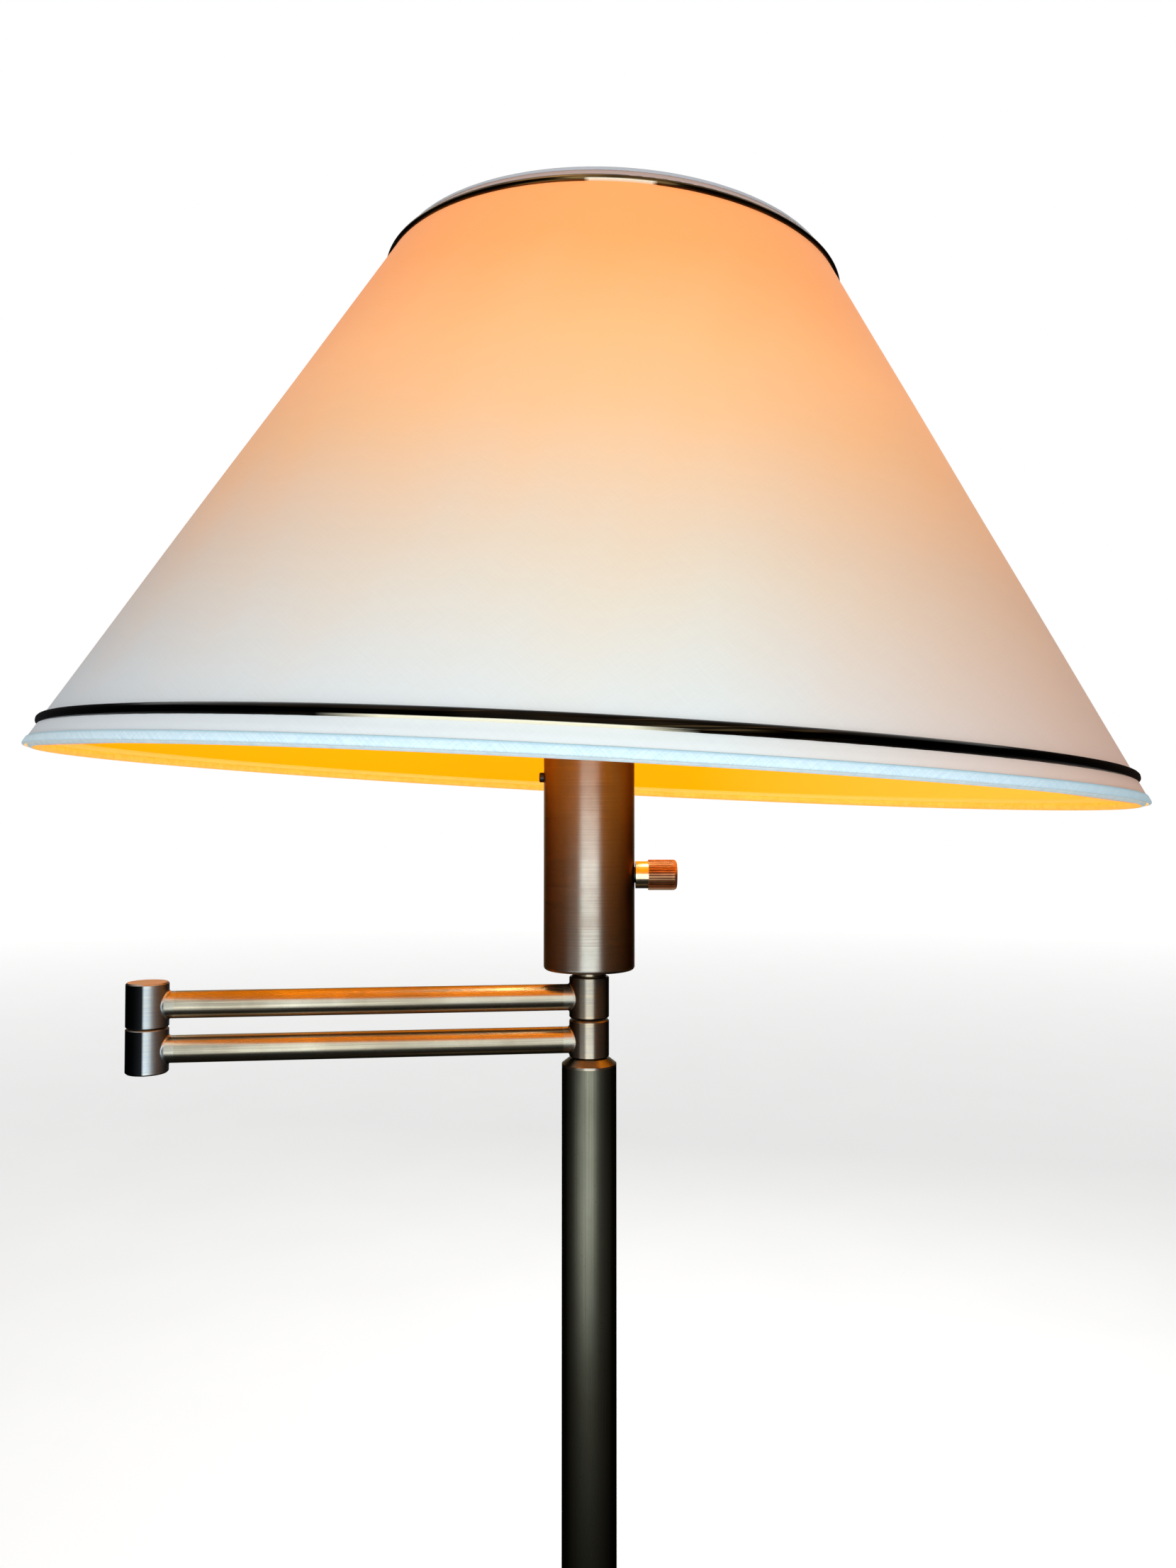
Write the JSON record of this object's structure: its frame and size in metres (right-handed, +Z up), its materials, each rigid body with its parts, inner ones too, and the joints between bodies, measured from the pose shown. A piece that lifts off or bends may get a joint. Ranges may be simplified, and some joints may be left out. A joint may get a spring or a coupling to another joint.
{
  "type": "swing arm floor lamp",
  "caption": "Floor lamp with a weighted round base, a slim pole, two folding swing arms, a socket housing with a turned dimmer knob and a wide conical fabric shade.",
  "frame": {"origin": "on the floor under the pole's axis, at the underside of the felt", "axes": "+Z up along the pole, +X towards the dimmer knob with the arms folded to -X, the cord gland at the rear on +Y"},
  "size_m": [0.45, 0.4506, 1.4031],
  "materials": {
    "felt": "matt felt",
    "cast_iron": "rough casting",
    "antique_brass": "satin, brushed round the turning, antique tone",
    "arm_brass": "satin antique tone",
    "pole_brass": "satin, dark olive bronze tone",
    "bare_steel": "zinc plated",
    "black_plastic": "matt black moulding",
    "wire_sheath": "smooth sheath",
    "contact_brass": "bright",
    "bulb_cap": "rolled thread",
    "opal_glass": "opal, lit",
    "shade_cloth": "fine weave laminated on a translucent backing",
    "shade_binding": "folded edge",
    "shade_trim": "glossy dark bronze",
    "white_wire": "white enamel"
  },
  "bodies": {
    "stand": {"felt_pad": "felt", "base_weight": "cast_iron", "base_cover": "pole_brass", "cord_gland": "black_plastic", "base_nipple": "bare_steel", "base_washer": "bare_steel", "base_nut": "bare_steel", "pole_tube": "pole_brass", "pole_foot_plug": "bare_steel", "pole_cap": "antique_brass", "pole_pivot": "bare_steel", "pole_pivot_nuts": "bare_steel", "pole_friction_washer": "contact_brass", "pole_wave_washer": "bare_steel", "pole_wire": "wire_sheath"},
    "lower_arm": {"lower_hub": "antique_brass", "lower_hub_cap": "antique_brass", "lower_arm_tube": "arm_brass", "lower_elbow": "antique_brass", "lower_elbow_cap": "antique_brass", "elbow_pivot": "bare_steel", "elbow_pivot_nuts": "bare_steel", "elbow_friction_washer": "contact_brass", "elbow_wave_washer": "bare_steel", "lower_arm_wire": "wire_sheath"},
    "upper_arm": {"upper_elbow": "antique_brass", "upper_elbow_cap": "antique_brass", "upper_arm_tube": "arm_brass", "upper_hub": "antique_brass", "upper_hub_cap": "antique_brass", "upper_arm_wire": "wire_sheath"},
    "head": {"head_pivot": "bare_steel", "head_pivot_nuts": "bare_steel", "head_friction_washer": "contact_brass", "head_wave_washer": "bare_steel", "neck_collar": "antique_brass", "socket_housing": "antique_brass", "dimmer": "black_plastic", "dimmer_wire": "wire_sheath", "socket_wire": "wire_sheath", "lamp_holder": "black_plastic", "screw_shell": "contact_brass", "holder_contact": "contact_brass", "set_screw": "black_plastic", "bulb_cap": "bulb_cap", "bulb_glass": "opal_glass", "lower_shade_ring": "black_plastic", "upper_shade_ring": "black_plastic", "fitter_ring": "white_wire", "spider_arms": "white_wire", "bottom_hoop": "white_wire", "top_hoop": "white_wire", "shade_fabric": "shade_cloth", "bottom_hem": "shade_binding", "top_hem": "shade_binding", "bottom_trim": "shade_trim", "top_trim": "shade_trim"},
    "knob": {"knob_shaft": "bare_steel", "dimmer_knob": "antique_brass"}
  },
  "joints": [
    {"name": "pole_swivel", "type": "hinge", "parent": "stand", "child": "lower_arm", "pos_m": [0, 0, 1.0547], "axis": [0, 0, 1], "range_deg": [-170, 170]},
    {"name": "elbow_swivel", "type": "hinge", "parent": "lower_arm", "child": "upper_arm", "pos_m": [-0.18561, -0.02279, 1.07155], "axis": [0, 0, 1], "range_deg": [-175, 175]},
    {"name": "head_swivel", "type": "hinge", "parent": "upper_arm", "child": "head", "pos_m": [0, 0, 1.09015], "axis": [0, 0, 1], "range_deg": [-170, 170]},
    {"name": "dimmer_turn", "type": "hinge", "parent": "head", "child": "knob", "pos_m": [0.03, 0, 1.13455], "axis": [1, 0, 0], "range_deg": [-270, 0]}
  ]
}
